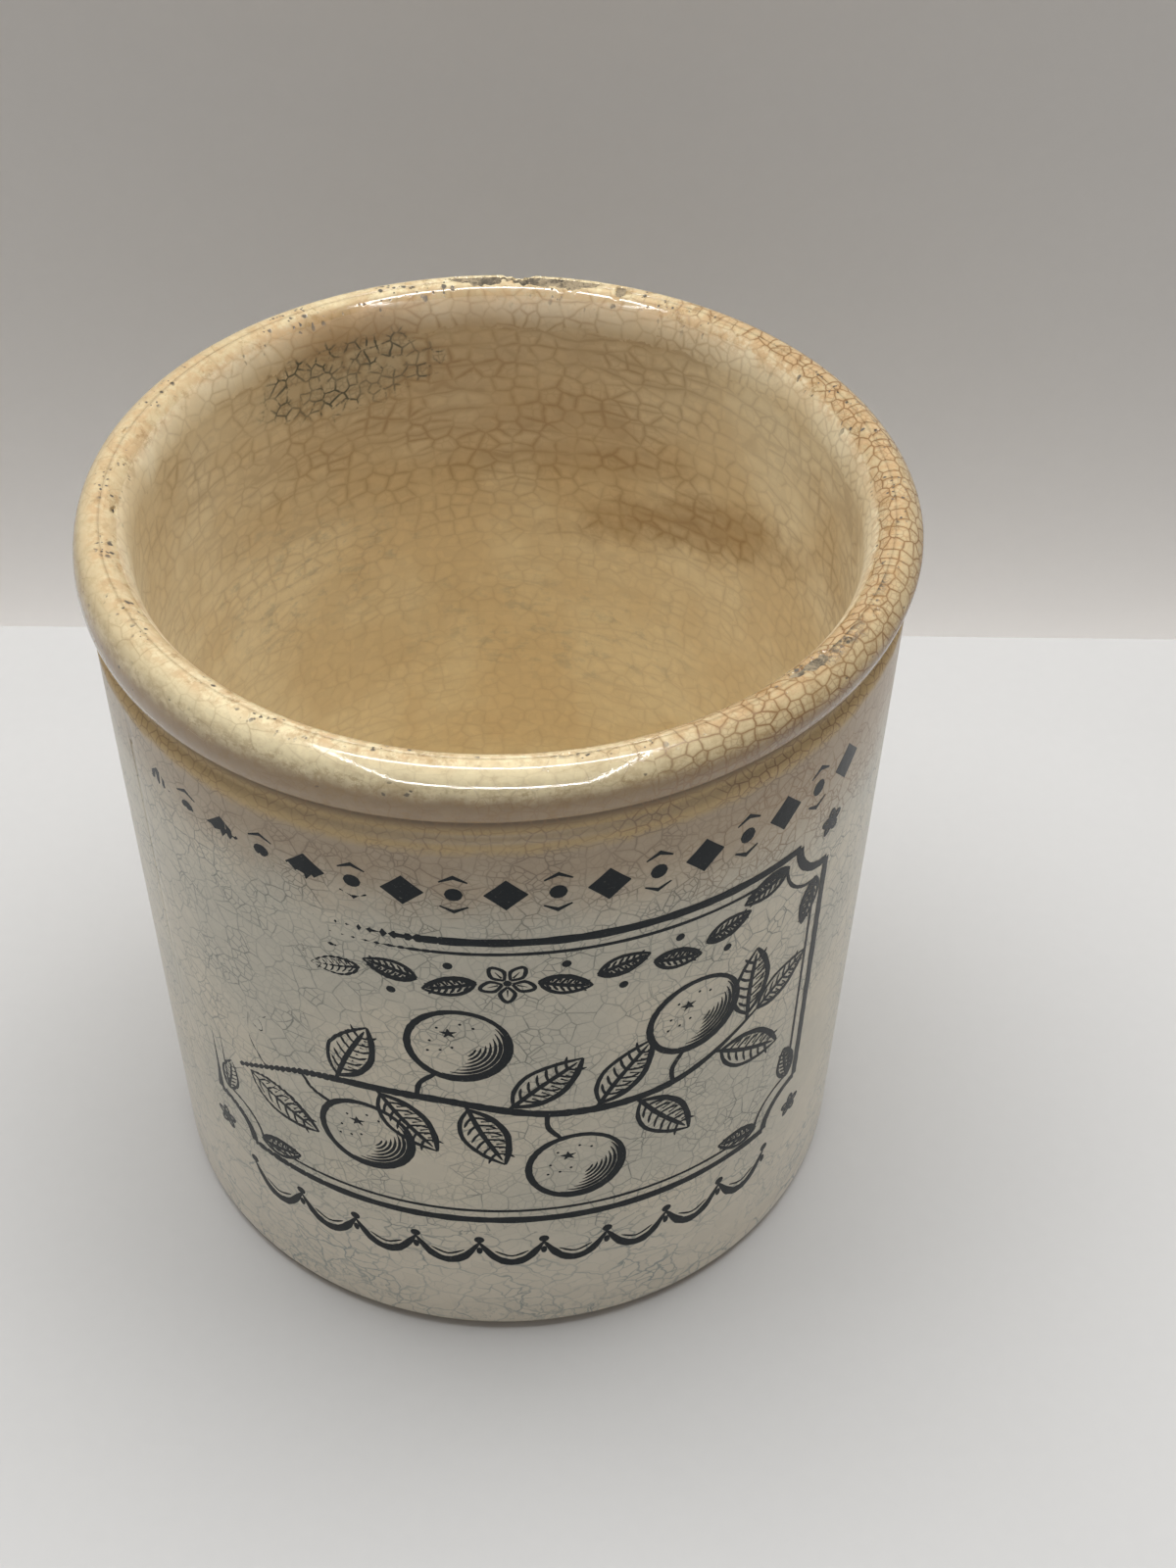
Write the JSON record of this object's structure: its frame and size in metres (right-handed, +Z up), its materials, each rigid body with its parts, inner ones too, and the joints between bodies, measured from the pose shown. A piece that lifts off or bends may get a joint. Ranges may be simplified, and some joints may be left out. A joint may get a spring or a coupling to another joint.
{
  "type": "marmalade pot",
  "caption": "Straight-sided glazed earthenware preserve pot with a rolled rim, a string groove below it, a slightly tapering wall, an open mouth and a bare foot ring.",
  "frame": {"origin": "on the table at the centre of the foot ring", "axes": "+Z up along the pot's axis of turning, out of the mouth; the printed front faces -Y"},
  "size_m": [0.108, 0.108, 0.112],
  "materials": {
    "biscuit": "dry, fired earthenware",
    "cream_glaze": "glossy cream lead glaze, crazed all over",
    "stained_glaze": "glossy glaze, crazed and stained tan",
    "underglaze_ink": "blue-black transfer ink under the glaze"
  },
  "bodies": {
    "root": {"clay_body": "biscuit", "outer_glaze": "cream_glaze", "inner_glaze": "stained_glaze", "base_glaze": "cream_glaze"}
  },
  "joints": []
}
